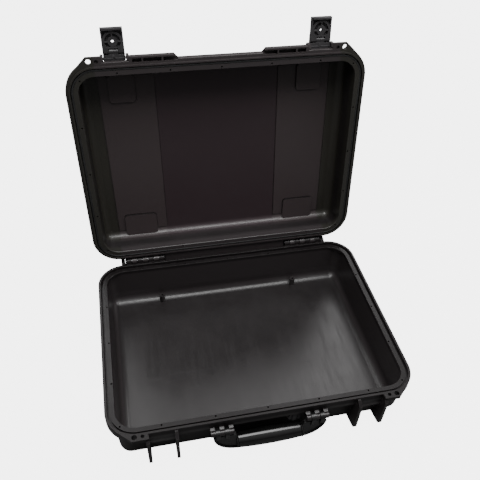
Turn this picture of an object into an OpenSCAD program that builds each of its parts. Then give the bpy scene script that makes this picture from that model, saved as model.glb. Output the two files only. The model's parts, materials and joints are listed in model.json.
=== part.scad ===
// Hard equipment case, shown open: two moulded shells on two knuckle hinges, two lever latches
// and a folding carry handle.
// X runs to the right, Y to the back (the hinge side), Z up. The origin is the middle of the underside.
// Shell outlines are drawn as wall sections: x is the distance in from the rim's outer edge.
// The lid and the latches are drawn closed and then swung open by lid_open.

/* [Case] */
// Width over the rim
case_w = 502; // [440:1:600]
// Depth over the rim, front to back
case_d = 370; // [330:1:460]
// Height of the base, to the top of its lip
base_h = 84; // [80:1:140]
// Height of the lid above the parting line
lid_h = 53; // [48:1:80]
// Corner radius of the rim
corner_r = 48; // [44:1:60]
// Angle that the lid stands open
lid_open = 98.6; // [90:0.2:104]

/* [Walls] */
// Floor thickness
floor_t = 4; // [3.5:0.1:6]
// Set-back of the outer wall under the base rim
base_set = 12; // [11:0.5:13]
// Draft of the walls, as a set-back from rim to floor
draft = 3; // [1:0.1:4]
// Outer radius along the bottom edge and up the corners of the body
edge_r = 19; // [15:1:21]
// Clearance between closed shells
shell_gap = 0.4; // [0.3:0.1:1]

/* [Hinges] */
// Distance of the hinge axis behind the rim
hinge_back = 6.8; // [6.7:0.1:8]
// Height of the hinge axis over the base lip
hinge_up = 1.5; // [1:0.1:2]
// Radius of a knuckle
knuckle_r = 6.2; // [5:0.1:6.3]
// Nearest point of a hinge to the middle
hinge_x0 = 121.8; // [100:1:130]
// Length of a hinge
hinge_len = 73.7; // [70:0.1:80]
// Radius of every pin
pin_r = 2; // [1.5:0.1:2.2]
// Radial clearance of the pins
pin_gap = 0.05; // [0.02:0.01:0.1]

/* [Latches] */
// Distance of a latch from the middle
latch_x = 168; // [164:1:172]
// Width of a latch
latch_w = 34; // [30:1:35]
// Length of the link between its pins
link_len = 10.5; // [10:0.1:12]
// Length of the lever past its pin
lever_len = 35; // [33:1:38]

/* [Handle] */
// Width of the handle over its corners
handle_w = 183; // [180:1:184]
// Drop of the handle axis below the base lip
handle_drop = 19; // [18:0.5:20]
// Distance of the handle axis from the rim
handle_out = 8; // [7.6:0.1:10]
// Mid radius of the grip
grip_r = 14.2; // [13:0.1:14.4]

/* [Hidden] */
$fn = 64;

black = [0.09, 0.09, 0.10];
rubber = [0.05, 0.05, 0.05];
steel = [0.62, 0.62, 0.64];

// Rim: lip, groove and ledge of the base
skirt_t = 4;
lip_w = 4.5;
groove_in = 8.2;
ledge_in = 16;
ledge_drop = 3;
groove_z = base_h - 7;
flange_under = base_h - 11;
skirt_under = base_h - 16;
ledge_z = base_h - ledge_drop;
wall_t = ledge_in - base_set;
body_r = draft + edge_r;
fillet_r = body_r - wall_t - draft;

// Lid, in its closed place
lid_z = base_h + shell_gap;
lid_top = base_h + lid_h;
lid_t = 4;
lid_flange_t = 7;
lid_lip_h = 12;
lid_set = 14.5;
lid_lip_in = 20;
lid_body_r = body_r - 1;
lid_edge_r = lid_body_r - draft - 0.5;
lid_wall_t = lid_lip_in - lid_set;
lid_fillet_r = lid_body_r - lid_wall_t - draft + 0.5;
lid_lip_z = ledge_z + 0.6;
tongue_out = 5.2;
tongue_in = 7.4;
tongue_z = groove_z + 3;
seal_out = 8.9;
seal_in = 12;
seal_roof = lid_z + 2;
strip_rise = 1.5;
pocket_deep = 10;
boss_rise = 5;
groove_w = 1.4;
groove_deep = 1;
inside_z = lid_top - lid_t;
front_boss_y = -case_d / 2 + 57;
back_boss_y = case_d / 2 - 47;
strip_x0 = 108;
strip_x1 = 201;

// Axes
hinge_y = case_d / 2 + hinge_back;
hinge_z = base_h + hinge_up;
knuckles = 7;
knuckle_pitch = hinge_len / knuckles;
knuckle_gap = 1.2;
latch_y = -case_d / 2 - 2.5;
latch_z = base_h + 13;
handle_y = -case_d / 2 - handle_out;
handle_z = base_h - handle_drop;
knuckle_w = 6.9;
lock_hole_r = 2.5;
back_flange_x = hinge_x0 - 2.3;
handle_pitch = 7.3;
handle_x0 = 62;
eye_x = 209;
eye_y = -case_d / 2 - 2;
eye_r = 4.2;
eye_pitch = 12.4;
seal_hole_r = 3;
eye_relief = 1.5;
plate_t = 7;
valve_x = 42;
valve_z = base_h - 28;
valve_y = -case_d / 2 + 10.5;

// Screw holes on the ledge, floor posts and valve
panel_pitch = 83.5;
panel_hole_r = 1.6;
panel_inset = 13.2;
post_x = 134.5;
post_y = case_d / 2 - 32;
post_h = 16;
post_hole_r = 2;
valve_bore_r = 7;

// Handle: its outer edge is a shallow arc with a rounder one at each end
handle_reach = 51;
handle_bow_r = 321.6;
handle_end_r = 41.5;
handle_flange_t = 2.4;
handle_flange_w = 10;
handle_web_w = 6;
handle_low = handle_z - handle_reach;
handle_end_z = handle_low + 46;
grip_y = handle_y + 3;
grip_z = handle_low + 17.6;
grip_len = 109;
core_w = 11;
core_h = 15;
grip_bulge = 1.6;
bead_r = 1.4;

// Keeper bar that the latch claw grips
keeper_top = base_h - 19;
keeper_low = base_h - 33;

// Side views of the hinge webs and of the stop for the open lid, as y and z
hinge_web_base = [[case_d / 2 - 2, skirt_under + 1], [case_d / 2 - 2, base_h - 4],
    [hinge_y - knuckle_r + 1.5, hinge_z - 1], [hinge_y, hinge_z],
    [hinge_y + knuckle_r - 0.4, hinge_z - 1.5],
    [case_d / 2 + 3, skirt_under + 4]];
hinge_web_lid = [[case_d / 2 - 2, lid_z + 4], [case_d / 2 - 2, lid_z + 11], [case_d / 2 + 2, lid_z + 11],
    [hinge_y + knuckle_r - 0.6, hinge_z + 1.5], [hinge_y, hinge_z]];
lid_stop = [[case_d / 2 - 2, skirt_under + 2], [case_d / 2 - 2, base_h - 4], [case_d / 2 + 1, base_h],
    [case_d / 2 + 19, base_h + 5.9], [case_d / 2 + 19.5, base_h + 1], [case_d / 2 + 4, skirt_under + 2]];

function arc(c, r, a0, a1, n = 8) =
    [for (i = [0 : n]) c + r * [cos(a0 + (a1 - a0) * i / n), sin(a0 + (a1 - a0) * i / n)]];

// Sweeps a wall section round the rim. The section reaches in as far as the corner's centre.
module ring(w, d, r) {
    for (k = [0 : 3]) {
        run = k % 2 == 0 ? w : d;
        depth = k % 2 == 0 ? d : w;
        rotate([0, 0, 90 * k]) translate([-(run / 2 - r), -depth / 2, 0])
            rotate([90, 0, 90]) linear_extrude(run - 2 * r) children();
        sx = k == 0 || k == 3 ? 1 : -1;
        sy = k < 2 ? 1 : -1;
        translate([sx * (w / 2 - r), sy * (d / 2 - r), 0]) rotate([0, 0, 90 * k])
            rotate_extrude(angle = 90, $fn = 96) translate([r, 0]) mirror([1, 0]) children();
    }
}

// Swings a closed lid part to the open position
module opened() {
    translate([0, hinge_y, hinge_z]) rotate([-lid_open, 0, 0])
        translate([0, -hinge_y, -hinge_z]) children();
}

// A cylinder along X, centred on x
module rod(x, y, z, r, len) {
    translate([x - len / 2, y, z]) rotate([0, 90, 0]) cylinder(h = len, r = r);
}

// A plate that lies in a YZ plane, centred on x
module plate(x, t, points) {
    translate([x - t / 2, 0, 0]) rotate([90, 0, 90]) linear_extrude(t) polygon(points);
}

// A box with rounded upright edges, centred on x and y
module pad(x, y, z, size, r) {
    translate([x, y, z]) linear_extrude(size[2]) union() {
        square([size[0] - 2 * r, size[1]], center = true);
        square([size[0], size[1] - 2 * r], center = true);
        for (sx = [-1, 1], sy = [-1, 1])
            translate([sx * (size[0] / 2 - r), sy * (size[1] / 2 - r)]) circle(r);
    }
}

// Rim of the base: lip, groove and ledge
module base_rim_section() {
    polygon([[0.6, base_h], [0, base_h - 0.8], [0, skirt_under], [skirt_t, skirt_under],
        [skirt_t, flange_under], [base_set, flange_under], [ledge_in, flange_under + 3],
        [ledge_in, ledge_z - 0.6], [ledge_in - 0.6, ledge_z], [groove_in, ledge_z],
        [groove_in, groove_z], [lip_w, groove_z], [lip_w, base_h - 0.5], [lip_w - 0.6, base_h]]);
}

// Wall of the base under its rim, with tighter corners than the rim's. x is the distance in from the wall.
module base_wall_section() {
    polygon(concat(
        [[0, flange_under + 1]],
        arc([body_r, edge_r], edge_r, 180, 270, 10),
        arc([body_r, floor_t + fillet_r], fillet_r, 270, 180, 10),
        [[wall_t, flange_under + 4]]));
}

module lid_rim_section() {
    polygon([[0.6, lid_z], [tongue_out, lid_z], [tongue_out, tongue_z], [tongue_in, tongue_z],
        [tongue_in, seal_roof], [seal_in + 0.1, seal_roof], [seal_in + 0.1, lid_lip_z],
        [lid_lip_in - 0.6, lid_lip_z], [lid_lip_in, lid_lip_z + 0.6], [lid_lip_in, lid_z + 3],
        [lid_lip_in - 4, lid_z + lid_flange_t], [skirt_t, lid_z + lid_flange_t],
        [skirt_t, lid_z + lid_lip_h], [0, lid_z + lid_lip_h], [0, lid_z + 0.8]]);
}

module lid_wall_section() {
    roof = lid_top - lid_t;
    polygon(concat(
        [[0, lid_z + 6], [lid_wall_t - 4, lid_z + 6], [lid_wall_t, lid_z + 2]],
        arc([lid_body_r, roof - lid_fillet_r], lid_fillet_r, 180, 90, 10),
        arc([lid_body_r, lid_top - lid_edge_r], lid_edge_r, 90, 180, 10)));
}

// Rim, walls and the flat middle of a shell: children are the rim's section and the wall's
module shell(set_back, r, z, t) {
    ring(case_w, case_d, corner_r) children(0);
    ring(case_w - 2 * set_back, case_d - 2 * set_back, r) children(1);
    translate([set_back + r - case_w / 2, set_back + r - case_d / 2, z])
        cube([case_w - 2 * (set_back + r), case_d - 2 * (set_back + r), t]);
}

// Hinge knuckles: every second one, each with a web to its own rim
module knuckle_set(side, first, web) {
    for (i = [first : 2 : knuckles - 1]) {
        x = side * (hinge_x0 + (i + 0.5) * knuckle_pitch);
        rod(x, hinge_y, hinge_z, knuckle_r, knuckle_pitch - knuckle_gap);
        plate(x, knuckle_pitch - knuckle_gap, web);
    }
}

// A flat strip along one hinge, out from the rim, that closes the view through it
module hinge_strip(side, z, t, depth, past) {
    len = hinge_len + 2.8 + past;
    translate([side * (hinge_x0 - 2.8 + len / 2) - len / 2, case_d / 2 - 2, z]) cube([len, depth, t]);
}

// The corner plate with the padlock eye and the smaller hole beside it, outside the rim's lip
module eye_plate(side, z, t) {
    rim = case_d / 2;
    outer = case_w / 2 - corner_r;
    translate([0, 0, z]) linear_extrude(t) difference() {
        polygon([
            [side * (latch_x + 20), -rim + 3], [side * (latch_x + 20), -rim - 8.5],
            [side * (eye_x + 4), -rim - 8.5], [side * (outer + 34), -rim + 14],
            [side * outer, -rim + 22]]);
        translate([side * outer, -rim + corner_r]) circle(corner_r - 3, $fn = 96);
        translate([side * (outer - 40), -rim + 3 + corner_r]) square(2 * corner_r, center = true);
    }
}

// The padlock eyes of both corner plates, wider by grow, through a height h from z
module eye_holes(z, h, grow = 0) {
    for (side = [-1, 1])
        translate([side * eye_x, eye_y, z]) cylinder(h = h, r = eye_r + grow);
}

// The smaller holes beside the padlock eyes
module seal_holes(z, h, grow = 0) {
    for (side = [-1, 1])
        translate([side * (eye_x - eye_pitch), eye_y, z]) cylinder(h = h, r = seal_hole_r + grow);
}

// Blind screw holes round a rim, for a panel frame
module rim_holes(inset, z, depth) {
    x = case_w / 2 - inset;
    y = case_d / 2 - inset;
    for (sy = [-1, 1], i = [-2 : 2])
        translate([i * panel_pitch, sy * y, z]) cylinder(h = depth, r = panel_hole_r, $fn = 24);
    for (sx = [-1, 1], i = [-1 : 1])
        translate([sx * x, i * panel_pitch, z]) cylinder(h = depth, r = panel_hole_r, $fn = 24);
    for (sx = [-1, 1], sy = [-1, 1])
        translate([sx * (x - 8.6), sy * (y - 8.6), z]) cylinder(h = depth, r = panel_hole_r, $fn = 24);
}

// Guard fin beside a latch, from the flange down to the bottom edge
module guard_fin(x) {
    face = -case_d / 2;
    plate(x, 5, concat(
        [[face + 14, flange_under + 1], [face + 1, flange_under + 1], [face + 1, base_h - 2],
            [face - 3, base_h - 2], [face - 12.5, base_h - 9]],
        arc([face - 4, 20], 8.5, 180, 250, 6),
        [[face + 24, 5], [face + 18, 12], [face + 15.5, 25]]));
}

module base_shell() {
    color(black) difference() {
        union() {
            shell(base_set, body_r, 0, floor_t) {
                base_rim_section();
                base_wall_section();
            }
            for (side = [-1, 1]) {
                knuckle_set(side, 0, hinge_web_base);
                hinge_strip(side, skirt_under + 3, 2.7, 17, 3);
                // Stop for the open lid
                plate(side * (hinge_x0 + hinge_len + 6), 7, lid_stop);
                eye_plate(side, base_h - plate_t, plate_t);
                for (k = [-1, 1]) guard_fin(side * latch_x + k * 22);
                latch_keeper(side);
                handle_lugs(side);
                // Screw post
                translate([side * post_x, post_y, floor_t - 1]) cylinder(h = post_h + 1, r = 5.3);
            }
            // Flat seat for the valve
            translate([valve_x, valve_y + 8, valve_z]) rotate([90, 0, 0]) cylinder(h = 8, r = 15);
        }
        for (side = [-1, 1]) {
            rod(side * (hinge_x0 + hinge_len / 2), hinge_y, hinge_z, pin_r + pin_gap, hinge_len + 4);
            rod(side * (handle_x0 + 2 * handle_pitch), handle_y, handle_z, pin_r + pin_gap, 42);
            translate([side * post_x, post_y, floor_t + 2]) cylinder(h = post_h, r = post_hole_r);
        }
        rim_holes(panel_inset, ledge_z - 6, 7);
        eye_holes(base_h - plate_t - 1, plate_t + 2);
        eye_holes(skirt_under - 1, base_h - plate_t - skirt_under + 1, eye_relief);
        seal_holes(base_h - plate_t - 1, plate_t + 2);
        seal_holes(skirt_under - 1, base_h - plate_t - skirt_under + 1, eye_relief);
        translate([valve_x, valve_y + 10, valve_z]) rotate([90, 0, 0]) cylinder(h = 14, r = valve_bore_r);
    }
}

// Bar under the rim that the lever's claw grips
module latch_keeper(side) {
    face = -case_d / 2;
    plate(side * latch_x, 40, [[face + 14.5, keeper_low], [face + 14.5, keeper_top],
        [face + 6, keeper_top], [face - 0.2, keeper_top - 6], [face - 0.2, keeper_low + 4.4],
        [face + 5, keeper_low + 4.4]]);
}

// Three lugs that hold one end of the handle
module handle_lugs(side) {
    for (i = [0, 2, 4]) {
        x = side * (handle_x0 + i * handle_pitch);
        rod(x, handle_y, handle_z, 5.2, knuckle_w);
        plate(x, knuckle_w, [[handle_y, handle_z - 5.2], [handle_y, handle_z + 3.4],
            [-case_d / 2 + 1, skirt_under + 2], [-case_d / 2 + 13, skirt_under + 3],
            [-case_d / 2 + 14.6, handle_z - 16], [-case_d / 2 + 0.2, handle_z - 5.2]]);
    }
}

// Wide stretch of lid flange with three pockets
module lid_flange_zone(side) {
    face = -case_d / 2;
    translate([0, 0, lid_z]) linear_extrude(lid_lip_h) polygon([
        [side * 67, face + 2], [side * 75, face - 6.3],
        [side * 146.5, face - 6.3], [side * 146.5, face + 2]]);
}

module lid_flange_pockets(side) {
    for (span = [[69.5, 93], [95.5, 124.5], [127, 141.5]])
        translate([side * (span[0] + span[1]) / 2, -case_d / 2 - 0.7, lid_z + pocket_deep / 2])
            cube([span[1] - span[0], 6.4, pocket_deep + 1], center = true);
}

// Two cheeks that carry a link's pin, and the web between them
module latch_bracket(side) {
    face = -case_d / 2;
    for (k = [-1, 1])
        plate(side * latch_x + k * 20, 4.4, [[face + 17, lid_z + 5], [face - 1, lid_z + 5],
            [face - 2, lid_z + 1.5], [face - 8, lid_z + 3], [face - 9, latch_z + 1],
            [face - 5, latch_z + 6], [face + 17, latch_z + 16]]);
    plate(side * latch_x, 40, [[face + 17, lid_z + 5], [face + 3.6, lid_z + 5], [face + 3.6, latch_z + 5],
        [face + 17, latch_z + 12]]);
}

// Groove round a boss, from the inside up to z, where the roof is flat
module groove_frame(x, y, z, size, r) {
    flat_d = case_d - 2 * (lid_set + lid_body_r);
    intersection() {
        difference() {
            pad(x, y, z - 6, [size[0] + 2 * groove_w, size[1] + 2 * groove_w, 6], r + groove_w);
            pad(x, y, z - 7, [size[0], size[1], 8], r);
        }
        translate([-case_w / 2, -flat_d / 2, z - 8]) cube([case_w, flat_d, 10]);
    }
}

module lid_shell() {
    color(black) opened() difference() {
        union() {
            shell(lid_set, lid_body_r, lid_top - lid_t, lid_t) {
                lid_rim_section();
                lid_wall_section();
            }
            // Flange that closes the gap between the hinges
            translate([-back_flange_x, case_d / 2 - 2, lid_z + 0.5])
                cube([2 * back_flange_x, hinge_back + 12, 6]);
            for (side = [-1, 1]) {
                knuckle_set(side, 1, hinge_web_lid);
                hinge_strip(side, hinge_z + knuckle_r + 0.4, 2.2, 19, 2.1);
                eye_plate(side, lid_z, lid_flange_t);
                lid_flange_zone(side);
                latch_bracket(side);
                // Raised band with two stacking bosses
                translate([side > 0 ? strip_x0 : -strip_x1, -case_d / 2 + 36, inside_z - strip_rise])
                    cube([strip_x1 - strip_x0, case_d - 72, strip_rise + 1]);
                pad(side * 163, front_boss_y, inside_z - boss_rise, [44, 46, boss_rise + 1], 6);
                pad(side * 157.5, back_boss_y, inside_z - boss_rise, [60, 44, boss_rise + 1], 6);
            }
        }
        for (side = [-1, 1]) {
            rod(side * (hinge_x0 + hinge_len / 2), hinge_y, hinge_z, pin_r + pin_gap, hinge_len + 4);
            rod(side * latch_x, latch_y, latch_z, pin_r + pin_gap, 50);
            lid_flange_pockets(side);
            // Room for the link's barrel in the rim's lip
            translate([side * latch_x, -case_d / 2 + 0.3, lid_z + lid_flange_t + 3])
                cube([36, 6.4, 6], center = true);
            // Stacking dimples on the outside
            pad(side * 163, front_boss_y, lid_top - 3, [38, 38, 5], 5);
            pad(side * 157.5, back_boss_y, lid_top - 3, [52, 22, 5], 5);
            // Grooves round the bosses and along the band
            groove_frame(side * 163, front_boss_y, inside_z - strip_rise + groove_deep, [44, 46], 6);
            groove_frame(side * 157.5, back_boss_y, inside_z - strip_rise + groove_deep, [60, 44], 6);
            for (x = [strip_x0 - groove_w, strip_x1])
                translate([side * (x + groove_w / 2) - groove_w / 2, -case_d / 2 + 37, inside_z - 1])
                    cube([groove_w, case_d - 74, 1 + groove_deep]);
            translate([side > 0 ? strip_x0 : -strip_x1, -case_d / 2 + 36, lid_top - strip_rise + 0.3])
                cube([strip_x1 - strip_x0, case_d - 72, strip_rise + 1]);
        }
        rim_holes(16.6, lid_lip_z - 1, 5);
        eye_holes(lid_z - 1, lid_flange_t + 2);
        eye_holes(lid_z + lid_flange_t, lid_lip_h, eye_relief);
        // Blind in the lid
        seal_holes(lid_z - 1, lid_flange_t - 1.5);
    }
}

module lid_gasket() {
    color(rubber) opened() ring(case_w, case_d, corner_r)
        polygon([[seal_out, seal_roof], [seal_out, ledge_z + 1], [seal_out + 0.7, ledge_z + 0.3],
            [seal_in - 0.7, ledge_z + 0.3], [seal_in, ledge_z + 1], [seal_in, seal_roof]]);
}

module hinge_pin(side) {
    color(steel) rod(side * (hinge_x0 + hinge_len / 2), hinge_y, hinge_z, pin_r, hinge_len);
}

// Link: a barrel on each pin and a plate with a small hole
module latch_link(side) {
    x = side * latch_x;
    py = latch_y - link_len;
    color(black) opened() difference() {
        union() {
            rod(x, latch_y, latch_z, 3.5, latch_w);
            rod(x, py, latch_z, 4, 14);
            translate([x - latch_w / 2, latch_y - 6.1, latch_z - 3.2]) cube([latch_w, 9.7, 4.7]);
            translate([x - 7, py, latch_z - 3]) cube([14, link_len, 4.5]);
            // Small boss beside the hole
            translate([x - 1, latch_y - 3.2, latch_z - 4.2]) cylinder(h = 2, r = 1.5, $fn = 24);
        }
        rod(x, latch_y, latch_z, pin_r + pin_gap, latch_w + 2);
        rod(x, py, latch_z, pin_r + pin_gap, latch_w + 2);
        translate([x + 0.4, latch_y + 0.6, latch_z - 6]) cylinder(h = 3.6, r = 1.4, $fn = 24);
    }
}

// Lever: a tray with side walls, a ring boss with four ribs, and a claw at its free end
module latch_lever(side) {
    x = side * latch_x;
    py = latch_y - link_len;
    end = py - lever_len;
    skin_z = latch_z + 1;
    ring_y = py - 15;
    color(black) opened() difference() {
        union() {
            translate([x - latch_w / 2, end, skin_z]) cube([latch_w, lever_len - 5, 3]);
            for (k = [-1, 1]) {
                rod(x + k * 12.3, py, latch_z, 4, 9.4);
                translate([x + k * 12.3 - 4.7, py - 6, latch_z - 4]) cube([9.4, 6, 8]);
                translate([x + k * (latch_w / 2 - 1.2) - 1.2, end, latch_z - 4])
                    cube([2.4, lever_len - 4, 7]);
            }
            translate([x - latch_w / 2, py - 7.5, latch_z - 4]) cube([latch_w, 2.4, 7]);
            translate([x - latch_w / 2, end, latch_z - 4]) cube([latch_w, 2.2, 7]);
            // Ring boss and ribs
            translate([x, ring_y, latch_z - 4]) cylinder(h = 6, r = 7.4);
            for (a = [0, 90]) translate([x, ring_y, latch_z - 1.5]) rotate([0, 0, a])
                cube([31, 1.8, 5], center = true);
            difference() {
                translate([x, ring_y, latch_z - 4]) cylinder(h = 6, r = 15.6);
                translate([x, ring_y, latch_z - 5]) cylinder(h = 8, r = 12.4);
            }
            // Cover behind the barrels
            translate([x - latch_w / 2, py - 7.5, skin_z]) cube([latch_w, 2.7, 4.9]);
            translate([x - latch_w / 2, py - 5, latch_z + 4.3]) cube([latch_w, 11.6, 1.6]);
            // Claw
            translate([x - 15, end, latch_z - 7.5]) cube([30, 2.6, 5]);
        }
        translate([x, ring_y, latch_z - 6]) cylinder(h = 12, r = lock_hole_r);
        // Room for the link between the barrels
        translate([x - 7.6, py - 4.8, latch_z - 5]) cube([15.2, 10, 9.3]);
        rod(x, py, latch_z, pin_r + pin_gap, latch_w + 2);
    }
}

module cross_pin(side, y, len) {
    color(steel) opened() rod(side * latch_x, y, latch_z, pin_r, len);
}

// Right half of the bow's outer edge, brought in by t, from the middle to the top of the arm
function bow_edge(t) = concat(
    arc([0, handle_low + handle_bow_r], handle_bow_r - t, 270, 280.3, 4),
    arc([handle_w / 2 - handle_end_r, handle_end_z], handle_end_r - t, 283, 355, 8));

// Upright plate round the handle's axis, w deep, mirrored to the left when side is -1
module bow_plate(side, w, points) {
    mirror([side < 0 ? 1 : 0, 0, 0]) translate([0, handle_y + w / 2, 0]) rotate([90, 0, 0])
        linear_extrude(w) polygon(points);
}

// Outer flange of the bow, t thick and w deep
module bow_flange(side, t, w) {
    outer = bow_edge(0);
    inner = bow_edge(t);
    count = len(inner);
    bow_plate(side, w, concat(outer, [for (i = [1 : count]) inner[count - i]]));
}

// Handle: a moulded bow with two knuckles at each end and a core inside the grip
module handle_frame() {
    grip_end = grip_len / 2;
    color(black) difference() {
        union() {
            for (side = [-1, 1]) {
                bow_flange(side, handle_flange_t, handle_flange_w);
                bow_plate(side, handle_web_w, concat(
                    [for (point = bow_edge(1)) if (point[0] > grip_end) point],
                    [[handle_w / 2 - 1.2, handle_z - 8], [grip_end + 1, handle_z - 8],
                        [grip_end - 3, grip_z + 17], [grip_end - 3, grip_z + 13.9],
                        [grip_end, grip_z + 13.4], [grip_end, handle_low + 5.6]]));
                for (i = [1, 3]) {
                    x = side * (handle_x0 + i * handle_pitch);
                    rod(x, handle_y, handle_z, 7, knuckle_w);
                    // Rib from the knuckle down the arm
                    plate(x, knuckle_w, [[handle_y - 7, handle_z], [handle_y + 6.5, handle_z],
                        [handle_y + 5, handle_z - 12], [handle_y + 2, handle_z - 22],
                        [handle_y - 2, handle_z - 22], [handle_y - 6, handle_z - 12]]);
                }
            }
            translate([-grip_end - 1, grip_y - core_w / 2, grip_z - core_h / 2])
                cube([grip_len + 2, core_w, core_h]);
        }
        for (side = [-1, 1])
            rod(side * (handle_x0 + 2 * handle_pitch), handle_y, handle_z, pin_r + pin_gap, 42);
    }
}

module handle_grip() {
    half = grip_len / 2 - 0.1;
    bead = half - bead_r;
    end_r = grip_r - grip_bulge;
    steps = 8;
    side_edge = [for (i = [0 : steps]) [grip_r - grip_bulge * pow(i / steps, 2), (bead - 2) * i / steps]];
    end_edge = concat([[end_r - 1.2, bead - 1.5]], arc([end_r - 0.4, bead], bead_r, -50, 90, 5));
    right = concat(side_edge, end_edge, [[0, half]]);
    count = len(right);
    color(rubber) difference() {
        translate([0, grip_y, grip_z]) rotate([0, 90, 0]) rotate_extrude()
            polygon(concat([for (i = [1 : count - 1]) [right[count - i][0], -right[count - i][1]]], right));
        translate([-grip_len, grip_y - core_w / 2 - 0.05, grip_z - core_h / 2 - 0.05])
            cube([2 * grip_len, core_w + 0.1, core_h + 0.1]);
        // Slot for the bow's flange
        for (side = [-1, 1]) bow_flange(side, handle_flange_t + 0.3, handle_flange_w + 0.6);
    }
}

module handle_pin(side) {
    color(steel) rod(side * (handle_x0 + 2 * handle_pitch), handle_y, handle_z, pin_r, 36);
}

// A disc on the valve's axis, from y0 outwards
module valve_disc(y0, len, r) {
    translate([valve_x, y0, valve_z]) rotate([90, 0, 0]) cylinder(h = len, r = r);
}

module valve_body() {
    color(black) difference() {
        union() {
            valve_disc(valve_y - 1.4, 2.4, 12);
            valve_disc(valve_y + 15, 17, valve_bore_r - 0.1);
        }
        valve_disc(valve_y + 16, 12, 4.6);
        valve_disc(valve_y + 8, 14, 3);
    }
}

module valve_seal() {
    color(rubber) difference() {
        valve_disc(valve_y - 0.05, 1.3, 11);
        valve_disc(valve_y + 1, 4, valve_bore_r);
    }
}

module valve_knob() {
    color(black) difference() {
        union() {
            valve_disc(valve_y - 4.1, 4, 10);
            valve_disc(valve_y + 3, 8, 2.94);
        }
        for (k = [-1, 1]) translate([valve_x + k * 5, valve_y - 8.2, valve_z])
            cube([4.2, 3.4, 24], center = true);
    }
}

module valve_nut() {
    color(black) difference() {
        translate([valve_x, valve_y + 13.5, valve_z]) rotate([90, 0, 0]) cylinder(h = 5, r = 11, $fn = 6);
        valve_disc(valve_y + 20, 20, valve_bore_r - 0.05);
    }
}

module valve_membrane() {
    color([0.9, 0.9, 0.88]) valve_disc(valve_y + 14.6, 0.6, 4.55);
}

base_shell();
lid_shell();
lid_gasket();
hinge_pin(-1);  // hinge_pin_left
hinge_pin(1);  // hinge_pin_right
latch_link(-1);  // latch_link_left
latch_link(1);  // latch_link_right
latch_lever(-1);  // latch_lever_left
latch_lever(1);  // latch_lever_right
cross_pin(-1, latch_y, 44);  // link_pin_left
cross_pin(1, latch_y, 44);  // link_pin_right
cross_pin(-1, latch_y - link_len, latch_w - 0.4);  // lever_pin_left
cross_pin(1, latch_y - link_len, latch_w - 0.4);  // lever_pin_right
handle_frame();
handle_grip();
handle_pin(-1);  // handle_pin_left
handle_pin(1);  // handle_pin_right
valve_body();
valve_seal();
valve_knob();
valve_nut();
valve_membrane();
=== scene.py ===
import json
import math

import bmesh
import bpy
from mathutils import Euler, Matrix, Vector


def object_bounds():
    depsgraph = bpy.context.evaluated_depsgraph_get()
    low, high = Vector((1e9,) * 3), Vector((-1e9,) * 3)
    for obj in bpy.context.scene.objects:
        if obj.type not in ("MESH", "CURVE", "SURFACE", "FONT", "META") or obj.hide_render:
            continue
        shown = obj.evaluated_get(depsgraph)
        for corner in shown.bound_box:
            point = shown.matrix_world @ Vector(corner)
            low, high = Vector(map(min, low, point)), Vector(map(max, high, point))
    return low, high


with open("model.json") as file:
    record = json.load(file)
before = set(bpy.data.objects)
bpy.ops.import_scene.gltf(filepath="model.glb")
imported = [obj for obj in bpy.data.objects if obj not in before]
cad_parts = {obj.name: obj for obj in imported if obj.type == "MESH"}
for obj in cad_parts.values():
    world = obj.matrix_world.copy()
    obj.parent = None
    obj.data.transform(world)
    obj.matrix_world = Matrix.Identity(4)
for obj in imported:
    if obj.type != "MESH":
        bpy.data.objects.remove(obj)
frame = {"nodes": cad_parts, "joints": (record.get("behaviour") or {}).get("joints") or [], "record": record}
cad_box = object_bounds()

# camera
CAMERA_PLACE = (-0.1629, -0.6307, 0.8588)
CAMERA_AZIMUTH = 13.635
CAMERA_ELEVATION = 45.13
CAMERA_ROLL = 2.545
CAMERA_LENS = 42.73
CAMERA_SHIFT = (-0.0043, 0.0723)
SENSOR = 36

# stage
FLOOR_SIZE = 6
FLOOR_GAP = 0.0005
FLOOR_GREY = 0.11
SEEN_GLOW = 5.0
WORLD_LOW = 0.03
WORLD_HIGH = 0.75

# edges of the CAD pieces
EDGE_WIDTH = 0.0006
EDGE_ANGLE = 35

# wear on the plastic: where the skin turns sharply, by the cosine of the turn
WEAR_RADIUS = 0.0012
WEAR_FULL = 0.90
WEAR_NONE = 0.985
WEAR_MOST = 0.6

# bump heights in metres
WAVE_HEIGHT = 0.0012
GRAIN_HEIGHT = 0.00012
ROD_LINE_HEIGHT = 0.0001

# tones of the shell zones, painted light and shade, and last the plastic's own tone range and roughness
# lid inside: bands and middle painted paler as painted light, sides painted darker as painted shade; lid rim
# painted paler, darker at its sides
BAND_PAINTED_LIGHT = (0.0480, 0.0370, 0.0385)
MIDDLE_PAINTED_LIGHT = (0.0350, 0.0232, 0.0268)
SIDE_PAINTED_SHADE = (0.0260, 0.0245, 0.0195)
LID_RIM_PAINTED_LIGHT = (0.0360, 0.0305, 0.0315)
LID_RIM_SIDE_PAINTED_SHADE = (0.0250, 0.0242, 0.0200)
# base: inner walls painted paler as painted light, rim painted darker as painted shade
INNER_WALL_PAINTED_LIGHT = (0.0290, 0.0245, 0.0255)
BASE_RIM_PAINTED_SHADE = (0.0060, 0.0050, 0.0052)
SHELL_DARK = (0.0092, 0.0075, 0.0078)
SHELL_LIGHT = (0.0165, 0.0140, 0.0145)
SHELL_ROUGH = 0.33

# shell zones, in metres from the middle or the floor
BAND_START = (0.1065, 0.1085)
BAND_END = (0.1995, 0.203)
LID_ROOF_DEPTH = (0.026, 0.032)
LID_RIM_DEPTH = (0.006, 0.016)
BASE_RIM_Z = (0.072, 0.076)
FILLET_LOW_Z = (0.0055, 0.0085)
FILLET_TOP_Z = (0.024, 0.032)
FILLET_BACK_Y = (0.11, 0.13)
FILLET_END_X = (0.08, 0.185)


# ---------------------------------------------------------------- camera, lights, floor

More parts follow.
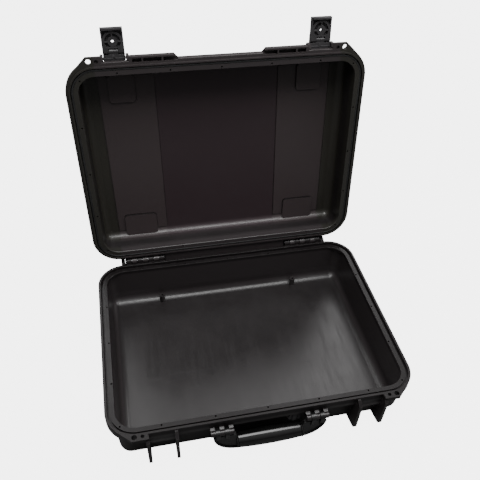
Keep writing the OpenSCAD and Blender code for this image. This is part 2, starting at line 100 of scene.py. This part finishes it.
def add_camera():
    cam = bpy.data.cameras.new("camera")
    cam.sensor_width = SENSOR
    cam.lens = CAMERA_LENS
    cam.shift_x, cam.shift_y = CAMERA_SHIFT
    cam.clip_end = 20
    obj = bpy.data.objects.new("camera", cam)
    bpy.context.collection.objects.link(obj)
    obj.location = CAMERA_PLACE
    look = Euler((math.radians(90 - CAMERA_ELEVATION), 0, math.radians(-CAMERA_AZIMUTH)), "XYZ").to_matrix()
    turn = Euler((0, 0, math.radians(CAMERA_ROLL)), "XYZ").to_matrix()
    obj.rotation_euler = (look @ turn).to_euler()
    bpy.context.scene.camera = obj


def add_area_light(name, place, aim, size, power):
    light = bpy.data.lights.new(name, "AREA")
    light.shape = "RECTANGLE"
    light.size, light.size_y = size
    light.energy = power
    obj = bpy.data.objects.new(name, light)
    bpy.context.collection.objects.link(obj)
    obj.location = place
    obj.rotation_euler = (Vector(aim) - Vector(place)).to_track_quat("-Z", "Y").to_euler()


def seen_boost(nodes):
    """A brightness that only direct sight gets, so a pale stage doesn't wash out the black plastic."""
    path = nodes.new("ShaderNodeLightPath")
    boost = nodes.new("ShaderNodeMath")
    boost.operation = "MULTIPLY"
    boost.inputs[1].default_value = SEEN_GLOW
    nodes.id_data.links.new(path.outputs["Is Camera Ray"], boost.inputs[0])
    return boost


def add_floor():
    mesh = bpy.data.meshes.new("floor")
    bm = bmesh.new()
    bmesh.ops.create_grid(bm, x_segments=1, y_segments=1, size=FLOOR_SIZE)
    bm.to_mesh(mesh)
    bm.free()
    floor = bpy.data.objects.new("floor", mesh)
    bpy.context.collection.objects.link(floor)
    floor.location = (0, 0, cad_box[0][2] - FLOOR_GAP)
    mat = bpy.data.materials.new("floor_paper")
    mat.use_nodes = True
    tree = mat.node_tree
    bsdf = tree.nodes["Principled BSDF"]
    bsdf.inputs["Base Color"].default_value = (FLOOR_GREY, FLOOR_GREY, FLOOR_GREY, 1)
    bsdf.inputs["Roughness"].default_value = 0.9
    bsdf.inputs["Emission Color"].default_value = (1, 1, 1, 1)
    tree.links.new(seen_boost(tree.nodes).outputs[0], bsdf.inputs["Emission Strength"])
    mesh.materials.append(mat)


def add_world():
    """A dim horizon and a brighter top."""
    world = bpy.data.worlds.new("studio")
    world.use_nodes = True
    tree = world.node_tree
    back = tree.nodes["Background"]
    back.inputs["Color"].default_value = (1, 1, 1, 1)
    height = tree.nodes.new("ShaderNodeSeparateXYZ")
    tree.links.new(tree.nodes.new("ShaderNodeTexCoord").outputs["Generated"], height.inputs[0])
    glow = tree.nodes.new("ShaderNodeMapRange")
    glow.inputs["To Min"].default_value = WORLD_LOW
    glow.inputs["To Max"].default_value = WORLD_HIGH
    tree.links.new(height.outputs["Z"], glow.inputs["Value"])
    add = tree.nodes.new("ShaderNodeMath")
    add.operation = "ADD"
    tree.links.new(seen_boost(tree.nodes).outputs[0], add.inputs[0])
    tree.links.new(glow.outputs["Result"], add.inputs[1])
    tree.links.new(add.outputs[0], back.inputs["Strength"])
    bpy.context.scene.world = world


def add_lights():
    add_area_light("overhead", (0.1, -0.25, 1.75), (0.05, 0, 0.05), (1.3, 0.8), 29)
    add_area_light("side_right", (1.15, -0.1, 1.2), (0.1, 0.05, 0.05), (0.5, 0.5), 5)
    add_area_light("back_left", (-0.75, 1.55, 2.0), (0, 0, 0.1), (0.9, 0.9), 17)
    add_area_light("back_right", (0.75, 1.55, 2.0), (0, 0, 0.1), (0.9, 0.9), 17)


add_camera()
add_floor()
add_world()
add_lights()


# ---------------------------------------------------------------- materials

class Nodes:
    """Short calls for the nodes of one material."""

    def __init__(self, name):
        self.mat = bpy.data.materials.new(name)
        self.mat.use_nodes = True
        self.tree = self.mat.node_tree
        self.bsdf = self.tree.nodes["Principled BSDF"]
        texture = self.tree.nodes.new("ShaderNodeTexCoord")
        self.coords = texture.outputs["Object"]
        self.normal = texture.outputs["Normal"]

    def put(self, value, socket):
        if isinstance(value, bpy.types.NodeSocket):
            self.tree.links.new(value, socket)
        else:
            socket.default_value = value

    def add(self, kind):
        return self.tree.nodes.new(kind)

    def split(self):
        """The object coordinates, one by one."""
        node = self.add("ShaderNodeSeparateXYZ")
        self.put(self.coords, node.inputs[0])
        return node.outputs["X"], node.outputs["Y"], node.outputs["Z"]

    def vector(self, kind, a, b):
        """A vector operation; a dot product gives its number."""
        node = self.add("ShaderNodeVectorMath")
        node.operation = kind
        self.put(a, node.inputs[0])
        self.put(b, node.inputs[1])
        return node.outputs["Value" if kind == "DOT_PRODUCT" else "Vector"]

    def noise(self, scale, detail=3.0, rough=0.55, stretch=(1, 1, 1)):
        mapping = self.add("ShaderNodeMapping")
        mapping.inputs["Scale"].default_value = stretch
        self.put(self.coords, mapping.inputs["Vector"])
        node = self.add("ShaderNodeTexNoise")
        node.inputs["Scale"].default_value = scale
        node.inputs["Detail"].default_value = detail
        node.inputs["Roughness"].default_value = rough
        self.put(mapping.outputs["Vector"], node.inputs["Vector"])
        return node.outputs["Fac"]

    def span(self, value, low, high, to_low, to_high):
        """Maps low..high to to_low..to_high, clamped."""
        node = self.add("ShaderNodeMapRange")
        for socket, number in zip(("From Min", "From Max", "To Min", "To Max"), (low, high, to_low, to_high)):
            node.inputs[socket].default_value = number
        self.put(value, node.inputs["Value"])
        return node.outputs["Result"]

    def math(self, kind, a, b=0.0):
        node = self.add("ShaderNodeMath")
        node.operation = kind
        self.put(a, node.inputs[0])
        self.put(b, node.inputs[1])
        return node.outputs[0]

    def mix(self, factor, a, b):
        node = self.add("ShaderNodeMix")
        node.data_type = "RGBA"
        self.put(factor, node.inputs["Factor"])
        for value, socket in ((a, node.inputs["A"]), (b, node.inputs["B"])):
            self.put(value if isinstance(value, bpy.types.NodeSocket) else (*value, 1), socket)
        return node.outputs["Result"]

    def bump(self, height, strength, distance, normal=None):
        node = self.add("ShaderNodeBump")
        node.inputs["Strength"].default_value = strength
        node.inputs["Distance"].default_value = distance
        self.put(height, node.inputs["Height"])
        if normal is not None:
            self.put(normal, node.inputs["Normal"])
        return node.outputs["Normal"]

    def edge_wear(self):
        """0 on flat faces and 1 on sharp edges."""
        bevel = self.add("ShaderNodeBevel")
        bevel.inputs["Radius"].default_value = WEAR_RADIUS
        face = self.add("ShaderNodeNewGeometry").outputs["True Normal"]
        turn = self.vector("DOT_PRODUCT", bevel.outputs["Normal"], face)
        return self.span(turn, WEAR_NONE, WEAR_FULL, 0.0, 1.0)

    def finish(self, color, rough, normal):
        self.put(color, self.bsdf.inputs["Base Color"])
        self.put(rough, self.bsdf.inputs["Roughness"])
        self.put(normal, self.bsdf.inputs["Normal"])
        return self.mat


def moulded_plastic(name, dark, light, rough, grain=1.0, zone_light_paint=None):
    """Black moulded plastic: a fine texture, slow waves in the skin, worn edges and handling marks.

    grain 0 gives a smooth skin. The zone function, if given, may paint light and shade into the colour and
    change the shine by zone.
    """
    n = Nodes(name)
    cloud = n.noise(9, 4, 0.6)
    dust = n.noise(46, 5, 0.65)
    tone = n.math("ADD", cloud, n.math("MULTIPLY", dust, 0.5))
    color = n.mix(n.span(tone, 0.45, 1.0, 0.0, 1.0), dark, light)
    # painted light and shade by zone, where a zone function is given
    if zone_light_paint is not None:
        color = zone_light_paint(n, color)
    patches = n.span(n.noise(160, 4, 0.6), 0.42, 0.62, 0.0, WEAR_MOST)
    wear = n.math("MULTIPLY", n.edge_wear(), patches)
    color = n.mix(wear, color, tuple(min(1, 3.2 * c + 0.004) for c in light))
    scuff = n.noise(120, 3, 0.5, (1, 0.12, 1))
    scratch = n.noise(300, 2, 0.5, (0.05, 1, 1))
    if grain == 0:
        scuff = n.noise(30, 2, 0.4)
        scratch = n.noise(40, 2, 0.4)
    marks = n.math("ADD", n.span(scuff, 0.45, 0.8, 0.0, 0.09), n.span(scratch, 0.62, 0.75, 0.0, 0.10))
    roughness = n.math("ADD", n.span(cloud, 0.3, 0.7, rough - 0.03, rough + 0.04), marks)
    normal = n.bump(n.noise(14, 2, 0.4), 0.25, WAVE_HEIGHT)
    if grain > 0:
        normal = n.bump(n.noise(1900, 2, 0.5), 0.10 * grain, GRAIN_HEIGHT, normal)
    return n.finish(color, roughness, normal)


LID_HINGE = next(j for j in frame["joints"] if j["name"] == "lid_hinge")


def lid_painted_light_shade(n, color):
    """Painted light and shade on the lid's inside, all paler than the base's shell: a warm middle and greyer
    bands painted paler as painted light, greenish sides painted darker as painted shade; the rim painted paler
    as painted light, darker at its sides as painted shade.
    """
    lean = math.radians(LID_HINGE["range_deg"][1])
    outward = (0, math.sin(lean), math.cos(lean))
    depth = n.vector("DOT_PRODUCT", n.vector("SUBTRACT", n.coords, LID_HINGE["pos_m"]), outward)
    inward = n.span(n.vector("DOT_PRODUCT", n.normal, outward), -0.15, -0.02, 1.0, 0.0)
    inside = n.math("MULTIPLY", n.span(depth, *LID_ROOF_DEPTH, 0.0, 1.0), inward)
    aside = n.math("ABSOLUTE", n.split()[0])
    middle = n.span(aside, *BAND_START, 1.0, 0.0)
    outer = n.span(aside, *BAND_END, 0.0, 1.0)
    band = n.math("MULTIPLY", n.span(aside, *BAND_START, 0.0, 1.0), n.span(aside, *BAND_END, 1.0, 0.0))
    # painted light on the bands and middle, painted shade on the sides
    for mask, paint in ((band, BAND_PAINTED_LIGHT), (middle, MIDDLE_PAINTED_LIGHT), (outer, SIDE_PAINTED_SHADE)):
        color = n.mix(n.math("MULTIPLY", n.math("MULTIPLY", mask, inside), 0.85), color, paint)
    # painted light on the rim, painted shade at its sides
    rim_painted_light_shade = n.mix(outer, LID_RIM_PAINTED_LIGHT, LID_RIM_SIDE_PAINTED_SHADE)
    return n.mix(n.span(depth, *LID_RIM_DEPTH, 0.8, 0.0), color, rim_painted_light_shade)


def base_shine_and_painted_light_shade(n, color):
    """A rim painted darker as painted shade and made less shiny, inner walls painted paler as painted light,
    and a rear fillet that shines more at its ends.
    """
    x, y, z = n.split()
    fillet = n.math("MULTIPLY", n.span(z, *FILLET_LOW_Z, 0.0, 1.0), n.span(z, *FILLET_TOP_Z, 1.0, 0.0))
    fillet = n.math("MULTIPLY", fillet, n.span(y, *FILLET_BACK_Y, 0.0, 1.0))
    across = n.span(n.math("ABSOLUTE", x), *FILLET_END_X, -0.26, 0.42)
    shine = n.math("ADD", n.span(z, *BASE_RIM_Z, 0.5, 0.22), n.math("MULTIPLY", fillet, across))
    n.put(shine, n.bsdf.inputs["Specular IOR Level"])
    facing = n.vector("DOT_PRODUCT", n.vector("MULTIPLY", n.coords, (1, 1, 0)), n.normal)
    # painted light: walls that face inwards are painted paler
    color = n.mix(n.span(facing, -0.15, -0.11, 0.8, 0.0), color, INNER_WALL_PAINTED_LIGHT)
    # painted shade: the rim is painted darker
    return n.mix(n.span(z, *BASE_RIM_Z, 0.0, 0.6), color, BASE_RIM_PAINTED_SHADE)


def shell_plastic(name, zone_light_paint):
    return moulded_plastic(name, SHELL_DARK, SHELL_LIGHT, SHELL_ROUGH, zone_light_paint=zone_light_paint)


def steel(name, dark, light):
    """Drawn steel rod with fine lines along it."""
    n = Nodes(name)
    draw = n.noise(700, 3, 0.5, (0.03, 1, 1))
    n.bsdf.inputs["Metallic"].default_value = 1.0
    color = n.mix(n.noise(60, 3), dark, light)
    return n.finish(color, n.span(draw, 0.3, 0.7, 0.22, 0.42), n.bump(draw, 0.2, ROD_LINE_HEIGHT))


MATERIALS = {
    # the base's shell plastic: painted light on its inner walls, painted shade on its rim
    "shell_plastic": shell_plastic("shell_plastic", base_shine_and_painted_light_shade),
    # painted light: the latch plastic is set paler than the shell's black to stand for the light on the latch
    # faces
    "latch_plastic": moulded_plastic("latch_plastic", (0.022, 0.021, 0.022), (0.040, 0.038, 0.040), 0.4),
    "handle_plastic": moulded_plastic("handle_plastic", (0.004, 0.004, 0.004), (0.008, 0.008, 0.008), 0.3, 0.5),
    "grip_rubber": moulded_plastic("grip_rubber", (0.003, 0.003, 0.003), (0.006, 0.006, 0.006), 0.15, 0),
    "seal_rubber": moulded_plastic("seal_rubber", (0.006, 0.006, 0.006), (0.011, 0.011, 0.011), 0.6),
    "membrane": moulded_plastic("membrane", (0.6, 0.6, 0.58), (0.75, 0.75, 0.73), 0.7),
    "pin_steel": steel("pin_steel", (0.30, 0.30, 0.31), (0.46, 0.46, 0.47)),
}
BLACK_STEEL = steel("pin_steel_black", (0.02, 0.02, 0.021), (0.05, 0.05, 0.051))
# the lid's copy of the shell plastic, with painted light and shade on its inside and rim
LID_PAINTED_LIGHT_PLASTIC = shell_plastic("lid_painted_light_plastic", lid_painted_light_shade)


# ---------------------------------------------------------------- the CAD pieces

SLOTS = {p["node"]: p["material_slot"] for p in frame["record"]["subparts"]}

for name, obj in frame["nodes"].items():
    material = MATERIALS[SLOTS[name]]
    if name == "lid_shell":
        material = LID_PAINTED_LIGHT_PLASTIC
    if name.startswith(("link_pin", "lever_pin")):
        material = BLACK_STEEL
    for slot in obj.material_slots:
        slot.material = material
    bevel = obj.modifiers.new("edge", "BEVEL")
    bevel.width = EDGE_WIDTH
    bevel.segments = 2
    bevel.limit_method = "ANGLE"
    bevel.angle_limit = math.radians(EDGE_ANGLE)
    bevel.harden_normals = False
